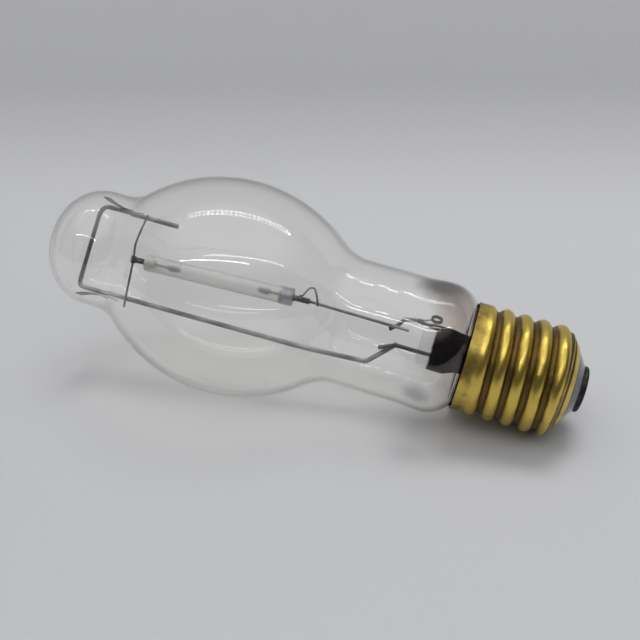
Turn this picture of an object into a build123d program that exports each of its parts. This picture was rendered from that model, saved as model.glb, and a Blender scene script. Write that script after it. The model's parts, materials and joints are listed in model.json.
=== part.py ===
from build123d import *
from math import atan2, cos, radians, sin, sqrt, tan
import os

# A clear high pressure sodium lamp with a 39 mm screw cap, lying on its bulge and its cap.
# Every piece is drawn on the lamp's own axis first, in millimetres: Z runs from the face of
# the centre contact (0) to the tip of the dome, X is the side of the wire frame's short leg,
# and the mount is flat in XZ. table_location() then lays the whole lamp down.

# Whole lamp
overall_length = 197.0
frame_roll = 34.0
settling_steps = 4

# Outer bulb, outside radii and the radii of the arcs that join them
bulb_wall = 0.9
nub_r = 21.45
crown_arc = 28.0
corner_arc = 16.0
nub_straight = 4.3
nub_blend = 17.0
bulge_r = 39.0
bulge_arc = 56.0
neck_blend = 16.0
neck_r = 22.8
shoulder_r = 23.3
shoulder_fade = 10.0
shoulder_arc = 12.0
throat_arc = 10.0
throat_r = 16.4
throat_end = 19.0

# Screw cap: a rolled brass shell with a right-hand knuckle thread
cap_length = 41.4
shell_wall = 0.3
thread_crest_r = 19.6
thread_depth = 1.8
thread_pitch = 6.35
thread_round = 1.85
thread_phase = 5.98
band_r = 19.3
band_height = 3.6
band_blend = 1.8
nose_r = 12.8
nose_height = 4.4
nose_angle = 52.0
nose_round = 0.6
rim_gap = 0.25
section_points = 24
sections_per_pitch = 10

# Insulator, contact and cement
contact_r = 8.1
contact_thickness = 1.6
contact_edge = 0.7
contact_hole_r = 1.5
insulator_top = 7.6
insulator_dish = 9.5
insulator_dish_depth = 1.6
insulator_hole_r = 1.9
seat_gap = 0.05
cement_gap = 0.05
cement_recess = 0.5

# Glass stem: flare, tube and pinched press, with the exhaust tube inside it
stem_wall = 1.1
stem_tube_r = 7.0
stem_top = 57.4
press_width = 16.0
press_thickness = 6.5
press_length = 10.2
press_corner = 3.2
press_edge = 1.4
press_blend = 4.2
press_offset = -0.5
bore_roof = 0.5
exhaust_r = 3.0
exhaust_wall = 0.9
exhaust_end = 15.0
blow_hole_r = 1.2
blow_hole_rise = 2.4

# Lead wires. Each route gives distance from the axis and height above the press.
lead_r = 0.75
lead_bend = 1.6
lead_sweep = 8.0
lead_below_press = 2.0
lead_spacing = 4.2
upper_lead_route = [(6.2, -2.8), (6.9, 4.0), (6.2, 7.4), (3.5, 9.2), (1.3, 11.8)]
lower_lead_route = [(-3.4, -4.2), (-3.5, 7.9), (-6.0, 13.7)]
upper_weld_share = 0.35
lower_weld_share = 0.1
outer_lead_r = 0.4
outer_lead_bend = 1.5
outer_lead_gap = 0.15

# Wire frame that carries the arc tube
frame_r = 0.875
frame_half_width = 15.7
frame_tip_gap = 12.2
frame_corner = 3.4
frame_low_corner = 1.9
short_leg_length = 30.3
frame_knee_x = -13.7
frame_knee_drop = 88.8
frame_knee_bend = 60.0
frame_heel_x = -12.1
frame_heel_rise = 16.6
frame_heel_round = 2.0
foot_past_weld = 1.1

# Leaf springs that steady the frame in the nub
leaf_width = 3.2
leaf_thickness = 0.25
leaf_slant = 15.0
leaf_bow = 0.9
leaf_below_bar = 8.6
leaf_glass_gap = 0.2

# Cross wire
cross_r = 0.4
cross_below_bar = 17.9
cross_bow = 1.1
cross_bow_x = 5.5
cross_top_tail = 1.1
cross_top_drop = 0.4
cross_low_tail = 2.9
cross_low_drop = 1.5
cross_bend = 14.0

# Arc tube, its plugs, niobium tubes and electrodes
tube_r = 3.1
tube_wall = 0.75
tube_length = 56.0
tube_slope = 0.049
hub_x = -0.55
plug_thickness = 3.4
plug_gap = 0.02
heat_band_length = 4.7
heat_band_wall = 0.12
niobium_r = 1.05
niobium_wall = 0.25
niobium_gap = 0.01
niobium_floor = 0.6
crimp_width = 2.8
crimp_thickness = 0.6
crimp_length = 1.2
crimp_blend = 1.8
stub_length = 5.5
mouth_length = 6.2
electrode_r = 0.45
electrode_reach = 13.2
coil_wire_r = 0.36
coil_length = 4.3
coil_turns = 4
coil_from_tip = 0.5

# Rod that slides in the cap-end niobium tube, and the loop that carries the current past it
rod_r = 0.55
rod_depth = 4.0
rod_bend = 12.0
rod_past_weld = 5.2
loop_wire_r = 0.3
loop_height = 5.2
loop_span = 3.0
loop_lean = 1.2
loop_foothold = 4.0
loop_tail = 1.0
loop_bend = 0.9

# Getter
getter_ring_r = 2.1
getter_channel = 0.8
getter_wall = 0.15
getter_out = 8.8
getter_front = 1.6
getter_below_top = 3.4
getter_tilt = 37.0
getter_wire_r = 0.25
getter_wire_bend = 0.8
getter_weld_drop = 1.0
getter_weld_length = 2.0


def point(x, s, y=0.0):
    """A point at distance x from the lamp axis, s along it and y across the mount."""
    return Vector(x, y, s)


def touch(centre, radius, other):
    """Where a circle meets the one about `other` that it touches."""
    return centre + (other - centre).normalized() * radius


def arc_about(centre, start, end):
    """The shorter arc from start to end about centre."""
    middle = centre + ((start - centre) + (end - centre)).normalized() * (start - centre).length
    return ThreePointArc(start, middle, end)


def turned(edges):
    """The solid that a closed outline in XZ makes when it is turned about the axis."""
    return revolve(Face(Wire(edges)), axis=Axis.Z)


def ring(inner, outer, low, high):
    """A plain ring about the axis."""
    corners = [point(inner, low), point(outer, low), point(outer, high), point(inner, high)]
    return turned(Polyline(*corners, close=True).edges())


def wire(points, radius, bend):
    """A round wire along straight runs joined by arcs of radius bend, one value or a list."""
    path = FilletPolyline(*points, radius=bend) if len(points) > 2 else Line(*points)
    start = Plane(origin=path @ 0, z_dir=path % 0)
    return sweep(start * Circle(radius), path=path)


# Heights that follow from the sizes above
band_inner_r = band_r - shell_wall
rim_glass_r = band_inner_r - rim_gap
throat_centre_r = throat_r + throat_arc
throat_start = cap_length - sqrt(throat_arc**2 - (throat_centre_r - rim_glass_r) ** 2)
shoulder_centre_r = shoulder_r - shoulder_arc
shoulder_top = throat_start + sqrt(
    (throat_arc + shoulder_arc) ** 2 - (throat_centre_r - shoulder_centre_r) ** 2
)
fade_drop = shoulder_r - neck_r
fade_arc = (fade_drop**2 + shoulder_fade**2) / (4 * fade_drop)
crown_centre = overall_length - crown_arc
corner_height = crown_centre + sqrt((crown_arc - corner_arc) ** 2 - (nub_r - corner_arc) ** 2)
nub_low = corner_height - nub_straight
bulge_centre_r = bulge_r - bulge_arc
bulge_height = nub_low - sqrt(
    (bulge_arc + nub_blend) ** 2 - (nub_r + nub_blend - bulge_centre_r) ** 2
)
neck_top = bulge_height - sqrt(
    (bulge_arc + neck_blend) ** 2 - (neck_r + neck_blend - bulge_centre_r) ** 2
)


def bulb_line(inset):
    """The bulb's half outline from the throat to the tip, moved inwards by inset."""
    throat = point(throat_centre_r, throat_start)
    shoulder = point(shoulder_centre_r, shoulder_top)
    fade_out = point(shoulder_r - fade_arc, shoulder_top)
    fade_in = point(neck_r + fade_arc, shoulder_top + shoulder_fade)
    neck = point(neck_r + neck_blend, neck_top)
    bulge = point(bulge_centre_r, bulge_height)
    waist = point(nub_r + nub_blend, nub_low)
    corner = point(nub_r - corner_arc, corner_height)
    crown = point(0, crown_centre)
    stops = [
        point(throat_r - inset, throat_end),
        point(throat_r - inset, throat_start),
        touch(throat, throat_arc + inset, shoulder),
        point(shoulder_r - inset, shoulder_top),
        touch(fade_out, fade_arc - inset, fade_in),
        point(neck_r - inset, shoulder_top + shoulder_fade),
        point(neck_r - inset, neck_top),
        touch(neck, neck_blend + inset, bulge),
        touch(bulge, bulge_arc - inset, waist),
        point(nub_r - inset, nub_low),
        point(nub_r - inset, corner_height),
        touch(crown, crown_arc - inset, corner),
        point(0, overall_length - inset),
    ]
    centres = [None, throat, shoulder, fade_out, fade_in, None, neck, bulge, waist, None, corner, crown]
    return [
        Line(start, end) if centre is None else arc_about(centre, start, end)
        for centre, start, end in zip(centres, stops, stops[1:])
    ]


def make_outer_bulb():
    """The blown glass bulb, open at the throat where the stem is sealed in."""
    outside = bulb_line(0)
    inside = bulb_line(bulb_wall)
    seal = Line(outside[0] @ 0, inside[0] @ 0)
    tip = Line(outside[-1] @ 1, inside[-1] @ 1)
    return turned([*outside, *inside, seal, tip])


def make_bulb_form():
    """The bulb as if it were solid, to cut what fits round it."""
    outside = bulb_line(0)
    foot = Line(point(0, throat_end), outside[0] @ 0)
    axis = Line(point(0, throat_end), outside[-1] @ 1)
    return turned([*outside, foot, axis])


def thread_radius(turn, inset):
    """Radius of the thread at a share of a turn from the crest: two arcs that meet smoothly."""
    crest_round = thread_round - inset
    root_round = thread_round + inset
    rise = abs(turn) * thread_pitch
    crest_side = thread_pitch / 2 * crest_round / (crest_round + root_round)
    if rise <= crest_side:
        return thread_crest_r - thread_round + sqrt(crest_round**2 - rise**2)
    return thread_crest_r - thread_depth + thread_round - sqrt(root_round**2 - (thread_pitch / 2 - rise) ** 2)


def nose_inside(inset, height):
    """Radius of the drawn-in nose at a height, moved inwards by inset."""
    angle = radians(nose_angle)
    return nose_r + (height - nose_height) * tan(angle) - inset / cos(angle)


def soft_least(first, second, reach):
    """The lesser of two radii, rounded where they come within reach of each other."""
    closeness = max(reach - abs(first - second), 0) / reach
    return min(first, second) - closeness**2 * reach / 4


def shell_radius(turn, height, inset):
    """The cap's radius: the thread, cut off by the drawn-in nose and flattened in the rim band."""
    from_crest = (height - thread_phase) / thread_pitch - turn
    thread = thread_radius((from_crest + 0.5) % 1 - 0.5, inset)
    radius = soft_least(thread, nose_inside(inset, height), nose_round)
    band_low = cap_length - band_height
    share = min(max((height - band_low) / band_blend + 1, 0), 1)
    share = share**2 * (3 - 2 * share)
    return radius * (1 - share) + (band_r - inset) * share


def shell_section(height, inset):
    """The cap's outline at one height."""
    turns = [i / section_points for i in range(section_points)]
    stops = [Vector(shell_radius(turn, height, inset), 0, height).rotate(Axis.Z, 360 * turn) for turn in turns]
    return Wire([Spline(*stops, periodic=True)])


def shell_form(inset, past_end):
    """The cap's form as if it were solid, through a section every tenth of a pitch or so."""
    low = nose_height - past_end
    high = cap_length + past_end
    steps = round((high - low) * sections_per_pitch / thread_pitch)
    heights = [low + (high - low) * i / steps for i in range(steps + 1)]
    return Solid.make_loft([shell_section(height, inset) for height in heights])


def make_cap_shell():
    """The brass shell: a thin wall that follows the thread inside and out, open at both ends."""
    return shell_form(0, 0) - shell_form(shell_wall, shell_wall)


def make_insulator():
    """The glass insulator, moulded into the nose of the shell."""
    inset = shell_wall + seat_gap
    seat = contact_thickness + seat_gap
    return turned(
        Polyline(
            point(insulator_hole_r, seat),
            point(contact_r, seat),
            point(nose_inside(inset, nose_height), nose_height),
            point(nose_inside(inset, insulator_top), insulator_top),
            point(insulator_dish, insulator_top),
            point(insulator_dish - insulator_dish_depth, insulator_top - insulator_dish_depth),
            point(insulator_hole_r, insulator_top - insulator_dish_depth),
            close=True,
        ).edges()
    )


def make_contact():
    """The centre contact, a flat disc with a rounded edge and a hole for the lead."""
    disc = ring(contact_hole_r, contact_r, 0, contact_thickness)
    rim = disc.edges().filter_by(GeomType.CIRCLE).sort_by(lambda edge: edge.radius)[-2:]
    return fillet(rim.sort_by(Axis.Z)[0], contact_edge)


def make_contact_solder(centre_lead):
    """The solder that fills the contact's hole flush and holds the end of the lead."""
    return Pos(0, 0, contact_thickness / 2) * Cylinder(contact_hole_r, contact_thickness) - centre_lead


def make_cement(side_lead):
    """The cement between the glass throat and the rim band."""
    low = cap_length - band_height + shell_wall * tan(radians(22.5)) + cement_gap
    outer = band_inner_r - cement_gap
    return ring(throat_r, outer, low, cap_length - cement_recess) - make_bulb_form() - side_lead


# Heights in the stem
press_low = stem_top - press_length
tube_top = press_low - press_blend
bore_top = tube_top - bore_roof
flare_arc = throat_r - bulb_wall - stem_tube_r


def make_stem(leads):
    """Flare, tube and press in one piece of glass, with the leads sealed through the press."""
    tube_low = throat_end + flare_arc
    flare_centre = point(stem_tube_r + flare_arc, tube_low)
    inner_r = stem_tube_r - stem_wall
    tube = turned([
        Line(point(0, tube_top), point(stem_tube_r, tube_top)),
        Line(point(stem_tube_r, tube_top), point(stem_tube_r, tube_low)),
        arc_about(flare_centre, point(stem_tube_r, tube_low), point(stem_tube_r + flare_arc, throat_end)),
        Line(point(stem_tube_r + flare_arc, throat_end), point(throat_r, throat_end)),
        Line(point(throat_r, throat_end), point(throat_r, throat_end - stem_wall)),
        Line(point(throat_r, throat_end - stem_wall), point(stem_tube_r + flare_arc, throat_end - stem_wall)),
        arc_about(
            flare_centre,
            point(stem_tube_r + flare_arc, throat_end - stem_wall),
            point(inner_r, tube_low),
        ),
        Line(point(inner_r, tube_low), point(inner_r, bore_top)),
        Line(point(inner_r, bore_top), point(0, bore_top)),
        Line(point(0, bore_top), point(0, tube_top)),
    ])
    outline = Pos(press_offset, (press_low + stem_top) / 2) * Rectangle(press_width, press_length)
    outline = fillet(outline.vertices().group_by(Axis.Y)[-1], press_corner)
    press = extrude(Plane.XZ * outline, press_thickness / 2, both=True)
    press = fillet(press.edges() - press.faces().sort_by(Axis.Z)[0].edges(), press_edge)
    foot = Pos(press_offset, 0, press_low) * RectangleRounded(press_width, press_thickness, press_edge)
    blend = loft([Pos(0, 0, tube_top) * Circle(stem_tube_r), foot])
    hole_height = bore_top + blow_hole_rise
    blow_hole = Pos(0, 0, (bore_top + hole_height) / 2) * Cylinder(blow_hole_r, blow_hole_rise)
    blow_hole += Pos(0, stem_tube_r / 2, hole_height) * Rot(90, 0, 0) * Cylinder(blow_hole_r, stem_tube_r)
    stem = tube + blend + press - blow_hole
    for lead in leads:
        stem -= lead
    return stem


def make_exhaust_tube():
    """The exhaust tube, sealed to the top of the stem's bore and tipped off inside the cap."""
    inner_r = exhaust_r - exhaust_wall
    tip = point(0, exhaust_end + exhaust_r)
    return turned([
        Line(point(inner_r, bore_top), point(exhaust_r, bore_top)),
        Line(point(exhaust_r, bore_top), point(exhaust_r, tip.Z)),
        arc_about(tip, point(exhaust_r, tip.Z), point(0, exhaust_end)),
        Line(point(0, exhaust_end), point(0, exhaust_end + exhaust_wall)),
        arc_about(tip, point(0, exhaust_end + exhaust_wall), point(inner_r, tip.Z)),
        Line(point(inner_r, tip.Z), point(inner_r, bore_top)),
    ])


def lead_points(side, route):
    """The run of a lead-in wire, from inside the stem's bore to its free end."""
    start = point(side * lead_spacing, bore_top - lead_below_press)
    return [start, *[point(x, stem_top + rise) for x, rise in route]]


upper_points = lead_points(1, upper_lead_route)
lower_points = lead_points(-1, lower_lead_route)
upper_weld = upper_points[-2] + (upper_points[-1] - upper_points[-2]) * upper_weld_share
lower_weld = lower_points[-2] + (lower_points[-1] - lower_points[-2]) * lower_weld_share


def make_lead(points):
    """One of the two stiff wires that come up through the press."""
    return wire(points, lead_r, [lead_sweep, *[lead_bend] * (len(points) - 3)])


def make_centre_lead():
    """The thin wire from the upper lead-in down to the centre contact."""
    x = lead_spacing
    return wire(
        [
            point(x, bore_top - lead_below_press),
            point(x, exhaust_end),
            point(0, insulator_top),
            point(0, contact_thickness / 2),
        ],
        outer_lead_r,
        outer_lead_bend,
    )


def make_side_lead():
    """The thin wire from the lower lead-in, round the flare and up to the rim band."""
    under = throat_end - stem_wall - 2 * outer_lead_bend
    beside = throat_r + outer_lead_r + outer_lead_gap
    low = cap_length - band_height
    return wire(
        [
            point(-lead_spacing, bore_top - lead_below_press),
            point(-lead_spacing, under),
            point(-beside, under),
            point(-beside, low - band_blend),
            point(-(band_inner_r - outer_lead_r), low + band_blend),
            point(-(band_inner_r - outer_lead_r), cap_length - 2 * cement_recess),
        ],
        outer_lead_r,
        [outer_lead_bend, outer_lead_bend, outer_lead_r * 2, outer_lead_r * 2],
    )


# The frame's plane lies behind the leads, so that its foot is welded to the side of one
frame_y = lead_r + frame_r
crossbar_height = overall_length - frame_tip_gap
cross_y = frame_y - frame_r - cross_r
hub_y = cross_y - cross_r - crimp_thickness / 2
hub_height = crossbar_height - cross_below_bar


def make_frame():
    """The bent wire that carries the arc tube: short leg, crossbar, long leg and foot."""
    heel = point(frame_heel_x, stem_top + frame_heel_rise, frame_y)
    weld = Vector(lower_weld.X, frame_y, lower_weld.Z)
    foot = weld + (weld - heel).normalized() * foot_past_weld
    return wire(
        [
            point(frame_half_width, crossbar_height - short_leg_length, frame_y),
            point(frame_half_width, crossbar_height, frame_y),
            point(-frame_half_width, crossbar_height, frame_y),
            point(frame_knee_x, crossbar_height - frame_knee_drop, frame_y),
            heel,
            foot,
        ],
        frame_r,
        [frame_corner, frame_low_corner, frame_knee_bend, frame_heel_round],
    )


def make_leaf(side):
    """A bowed leaf spring across a leg, whose two ends bear on the inside of the nub."""
    seat = frame_half_width + frame_r
    reach = nub_r - bulb_wall - leaf_glass_gap
    end_x = seat + leaf_bow + leaf_thickness
    half = sqrt(reach**2 - end_x**2) / cos(radians(leaf_slant))
    back = [Vector(seat + leaf_bow, -half), Vector(seat, 0), Vector(seat + leaf_bow, half)]
    front = [corner + Vector(leaf_thickness, 0) for corner in back]
    outline = Wire([
        ThreePointArc(*back),
        Line(back[2], front[2]),
        ThreePointArc(*front),
        Line(front[0], back[0]),
    ])
    strip = Rot(-side * leaf_slant, 0, 0) * extrude(Face(outline), leaf_width / 2, both=True)
    turn = 0 if side > 0 else 180
    return Pos(0, 0, crossbar_height - leaf_below_bar) * Rot(0, 0, turn) * strip


def make_cross_wire():
    """The thin wire welded across both legs, which holds the dome end of the arc tube."""
    low_x = -frame_half_width - cross_low_tail
    return wire(
        [
            point(frame_half_width + cross_top_tail, hub_height - cross_top_drop, cross_y),
            point(cross_bow_x, hub_height + cross_bow, cross_y),
            point(hub_x, hub_height, cross_y),
            point(low_x, hub_height - cross_low_drop, cross_y),
        ],
        cross_r,
        [cross_bend, cross_bend],
    )


# Along the arc tube's own axis, distances run from the hub on the cross wire to the cap
arc_axis = Plane(origin=(hub_x, hub_y, hub_height), x_dir=(1, 0, tube_slope), z_dir=(tube_slope, 0, -1))
tube_start = stub_length
tube_end = stub_length + tube_length
tube_bore_r = tube_r - tube_wall


def make_arc_tube():
    """The translucent ceramic tube."""
    return arc_axis.location * ring(tube_bore_r, tube_r, tube_start, tube_end)


def make_plug(start):
    """A ceramic plug in one end of the arc tube, bored for the niobium tube."""
    inner = niobium_r + niobium_gap
    return arc_axis.location * ring(inner, tube_bore_r - plug_gap, start, start + plug_thickness)


def make_heat_band():
    """The metal band round the cap end of the arc tube."""
    inner = tube_r + plug_gap
    return arc_axis.location * ring(inner, inner + heat_band_wall, tube_end - heat_band_length, tube_end)


def make_dome_niobium():
    """The niobium tube at the dome end, crimped flat where the cross wire is welded on."""
    inner_end = tube_start + plug_thickness
    bore_r = niobium_r - niobium_wall
    body = Pos(0, 0, (crimp_blend + inner_end) / 2) * Cylinder(niobium_r, inner_end - crimp_blend)
    bore_length = inner_end - crimp_blend - niobium_floor
    body -= Pos(0, 0, crimp_blend + bore_length / 2) * Cylinder(bore_r, bore_length)
    flat = RectangleRounded(crimp_width, crimp_thickness, crimp_thickness * 0.45)
    crimp = loft([Pos(0, 0, crimp_length / 2) * flat, Pos(0, 0, crimp_blend) * Circle(niobium_r)])
    crimp += extrude(Pos(0, 0, -crimp_length / 2) * flat, crimp_length)
    return arc_axis.location * (body + crimp)


def make_cap_niobium():
    """The niobium tube at the cap end, open at its mouth, where the rod slides."""
    start = tube_end - plug_thickness
    mouth = tube_end + mouth_length
    bore_low = start + niobium_floor
    tube = Pos(0, 0, (start + mouth) / 2) * Cylinder(niobium_r, mouth - start)
    bore = Pos(0, 0, (bore_low + mouth) / 2) * Cylinder(niobium_r - niobium_wall, mouth - bore_low)
    return arc_axis.location * (tube - bore)


def electrode_frame(side):
    """The axis of an electrode, from the floor of its niobium tube into the arc tube."""
    if side > 0:
        return arc_axis.location * Pos(0, 0, tube_start + plug_thickness)
    return arc_axis.location * Pos(0, 0, tube_end - plug_thickness) * Rot(180, 0, 0)


def make_electrode(side):
    """The tungsten shank of one electrode."""
    length = electrode_reach - plug_thickness
    return electrode_frame(side) * Pos(0, 0, length / 2) * Cylinder(electrode_r, length)


def make_coil(side):
    """The tungsten wire wound on the shank near its tip."""
    wound_r = electrode_r + coil_wire_r
    height = coil_length - 2 * coil_wire_r
    helix = Helix(height / coil_turns, height, wound_r)
    section = Plane(origin=helix @ 0, z_dir=helix % 0) * Circle(coil_wire_r)
    coil = sweep(section, path=helix, is_frenet=True)
    start = electrode_reach - plug_thickness - coil_from_tip - coil_length + coil_wire_r
    return electrode_frame(side) * Pos(0, 0, start) * coil


def on_tube(distance, out=0.0):
    """The lamp point at a distance along the arc tube's axis and out from it towards +X."""
    return arc_axis.from_local_coords(Vector(out, 0, distance))


mouth = on_tube(tube_end + mouth_length)
rod_weld = Vector(upper_weld.X, -(lead_r + rod_r), upper_weld.Z)
rod_end = rod_weld + (rod_weld - mouth).normalized() * rod_past_weld


def make_rod():
    """The rod that slides in the cap-end niobium tube and is welded to the upper lead-in."""
    return wire([on_tube(tube_end + mouth_length - rod_depth), mouth, rod_end], rod_r, rod_bend)


def make_loop():
    """The slack wire that carries the current past the sliding joint."""
    along = (rod_weld - mouth).normalized()
    foot = mouth + along * loop_span + Vector(0, -(rod_r + loop_wire_r), 0)
    surface = niobium_r + loop_wire_r
    return wire(
        [
            on_tube(tube_end + mouth_length - loop_foothold, surface),
            on_tube(tube_end + mouth_length - loop_foothold + loop_tail, surface),
            on_tube(tube_end + mouth_length - loop_lean, loop_height * 0.9),
            on_tube(tube_end + mouth_length + loop_lean * 0.5, loop_height),
            Vector(foot.X + loop_height * 0.6, foot.Y, foot.Z + loop_lean),
            foot,
            foot - Vector(loop_tail, 0, 0),
        ],
        loop_wire_r,
        [loop_tail / 2, loop_bend, loop_bend, loop_bend, loop_tail / 2],
    )


# The getter ring's own axis leans towards the front of the mount
getter_axis = Plane(
    origin=(getter_out, -getter_front, stem_top - getter_below_top),
    x_dir=(0, 0, 1),
    z_dir=(cos(radians(getter_tilt)), -sin(radians(getter_tilt)), 0),
)


def make_getter_ring():
    """The getter's channel ring, open on the side that faces the neck."""
    inner = getter_ring_r - getter_channel
    wall = getter_wall
    return getter_axis.location * turned(
        Polyline(
            point(inner, 0),
            point(getter_ring_r, 0),
            point(getter_ring_r, getter_channel),
            point(getter_ring_r - wall, getter_channel),
            point(getter_ring_r - wall, wall),
            point(inner + wall, wall),
            point(inner + wall, getter_channel),
            point(inner, getter_channel),
            close=True,
        ).edges()
    )


def make_getter_wire():
    """The wire that holds the getter ring on the upper lead-in."""
    lead_low, lead_high = upper_points[1], upper_points[2]
    along = (lead_high - lead_low).normalized()
    beside = Vector(along.Z, 0, -along.X) * (lead_r + getter_wire_r)
    ring_edge = getter_axis.from_local_coords(Vector(getter_ring_r - getter_channel / 2, 0, -getter_wire_r))
    high = lead_high + beside - along * getter_weld_drop
    low = high - along * getter_weld_length
    return wire([ring_edge, low, high], getter_wire_r, getter_wire_bend)


def laid_down(tilt):
    """The lamp's axis raised by a tilt with the dome towards -X, rolled as it lies."""
    axis = Vector(-cos(tilt), 0, sin(tilt))
    upright = Vector(sin(tilt), 0, cos(tilt))
    roll = radians(frame_roll)
    short_leg = upright * cos(roll) + Vector(0, sin(roll), 0)
    return Plane(origin=(0, 0, 0), x_dir=short_leg, z_dir=axis).location


def resting_tilt(bulb, shell):
    """The tilt at which the bulge and the cap shell touch the table together."""
    reach = bulge_height - nose_height
    tilt = atan2(bulge_r - thread_crest_r, reach)
    for _ in range(settling_steps):
        laid = laid_down(tilt)
        gap = (laid * bulb).bounding_box().min.Z - (laid * shell).bounding_box().min.Z
        tilt -= gap / reach
    return tilt


def table_location(bulb, shell, contact):
    """Lays the lamp down and centres the box of its foot on the origin."""
    laid = laid_down(resting_tilt(bulb, shell))
    box = Compound(children=[laid * piece for piece in (bulb, shell, contact)]).bounding_box()
    return Pos(-(box.min.X + box.max.X) / 2, -(box.min.Y + box.max.Y) / 2, -box.min.Z) * laid


def main():
    """Builds every piece, lays the lamp down and writes one file for each piece."""
    leads = [make_lead(upper_points), make_lead(lower_points)]
    centre_lead = make_centre_lead()
    side_lead = make_side_lead()
    pieces = {
        "outer_bulb": make_outer_bulb(),
        "stem_glass": make_stem(leads),
        "exhaust_tube": make_exhaust_tube(),
        "upper_lead_in": leads[0],
        "lower_lead_in": leads[1],
        "centre_lead_wire": centre_lead,
        "side_lead_wire": side_lead,
        "mount_frame": make_frame(),
        "upper_leaf_spring": make_leaf(1),
        "lower_leaf_spring": make_leaf(-1),
        "cross_wire": make_cross_wire(),
        "arc_tube": make_arc_tube(),
        "dome_end_plug": make_plug(tube_start),
        "cap_end_plug": make_plug(tube_end - plug_thickness),
        "heat_band": make_heat_band(),
        "dome_niobium_tube": make_dome_niobium(),
        "cap_niobium_tube": make_cap_niobium(),
        "dome_electrode": make_electrode(1),
        "cap_electrode": make_electrode(-1),
        "dome_electrode_coil": make_coil(1),
        "cap_electrode_coil": make_coil(-1),
        "support_rod": make_rod(),
        "expansion_loop": make_loop(),
        "getter_ring": make_getter_ring(),
        "getter_wire": make_getter_wire(),
        "cap_shell": make_cap_shell(),
        "basing_cement": make_cement(side_lead),
        "cap_insulator": make_insulator(),
        "centre_contact": make_contact(),
        "contact_solder": make_contact_solder(centre_lead),
    }
    table = table_location(pieces["outer_bulb"], pieces["cap_shell"], pieces["centre_contact"])
    os.makedirs("parts", exist_ok=True)
    for name, piece in pieces.items():
        placed = table * piece
        placed.label = name
        export_step(placed, f"parts/{name}.step")


main()
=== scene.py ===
"""Looks of a clear high pressure sodium lamp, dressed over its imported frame.

Sizes of the lamp are in millimetres in the lamp's own coordinates: x runs from the axis
towards the wire frame's short leg, s along the axis from the contact's face to the dome's
tip, and y across the mount, away from the camera. The Lamp class turns them into metres
in the row frame.
"""

import json
import logging
from dataclasses import dataclass
from enum import Enum
from math import atan2, ceil, cos, pi, radians, sin, sqrt, tan
from typing import Iterable, Sequence, Union

import bpy
from mathutils import Matrix, Vector

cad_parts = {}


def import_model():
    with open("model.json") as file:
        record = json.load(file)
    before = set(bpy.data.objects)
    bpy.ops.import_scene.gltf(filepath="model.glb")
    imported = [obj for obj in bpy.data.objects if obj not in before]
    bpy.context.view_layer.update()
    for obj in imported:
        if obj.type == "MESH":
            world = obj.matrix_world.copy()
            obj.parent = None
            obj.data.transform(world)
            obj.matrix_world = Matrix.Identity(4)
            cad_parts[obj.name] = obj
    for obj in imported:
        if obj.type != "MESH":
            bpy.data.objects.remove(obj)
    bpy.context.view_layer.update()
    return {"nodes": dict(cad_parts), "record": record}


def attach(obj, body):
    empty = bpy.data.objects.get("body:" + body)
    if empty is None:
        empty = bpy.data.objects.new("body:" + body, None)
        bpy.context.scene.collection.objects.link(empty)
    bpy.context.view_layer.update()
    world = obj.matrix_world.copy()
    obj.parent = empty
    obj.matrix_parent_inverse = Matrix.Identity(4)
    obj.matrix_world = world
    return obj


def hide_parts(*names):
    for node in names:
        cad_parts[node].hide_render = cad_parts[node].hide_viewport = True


LOG = logging.getLogger("lamp")
MM = 0.001

Colour = tuple[float, float, float]
Triple = tuple[float, float, float]
Point = tuple[float, float]
Outline = list[Point]
Faces = list[list[int]]
Material = bpy.types.Material
Object = bpy.types.Object
NodeTree = bpy.types.NodeTree
Node = bpy.types.Node
Socket = bpy.types.NodeSocket
Sockets = bpy.types.NodeOutputs
Kinds = dict[str, str]
Value = Union[float, Sequence[float], Socket]
Values = dict[Union[int, str], Value]


@dataclass
class Lamp:
    """Where the lamp lies: its own axes and its contact in the row frame.

    Args:
        contact: centre of the contact's face, in metres.
        outward: the way that the cap points.
        roll: turn of the wire frame about the lamp's axis, in degrees.
    """

    contact: Vector
    outward: Vector
    roll: float = 34.0

    @classmethod
    def from_record(cls, record: dict) -> "Lamp":
        """The lamp as the record's mount on the contact places it."""
        mount = next(m for m in record["mounts"] if m["name"] == "centre_contact")
        return cls(Vector(mount["pos_m"]), Vector(mount["axis"]).normalized())

    @property
    def along(self) -> Vector:
        """The lamp's axis, from the contact to the dome."""
        return -self.outward

    @property
    def matrix(self) -> Matrix:
        """Turns lamp coordinates in millimetres into the row frame in metres."""
        side = Vector((0.0, 1.0, 0.0))
        upright = side.cross(self.along)
        if upright.z < 0:
            upright = -upright
        roll = radians(self.roll)
        short_leg = upright * cos(roll) + side * sin(roll)
        across = self.along.cross(short_leg)
        turn = Matrix((short_leg, across, self.along)).transposed().to_4x4()
        return Matrix.Translation(self.contact) @ turn @ Matrix.Scale(MM, 4)

    def place(self, x: float, s: float, y: float = 0.0) -> Vector:
        """A point of the lamp in the row frame."""
        return self.matrix @ Vector((x, y, s))

    def turn(self, direction: Sequence[float]) -> Vector:
        """A direction given in lamp coordinates, in the row frame."""
        return (self.matrix.to_3x3() @ Vector(direction)).normalized()


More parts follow.
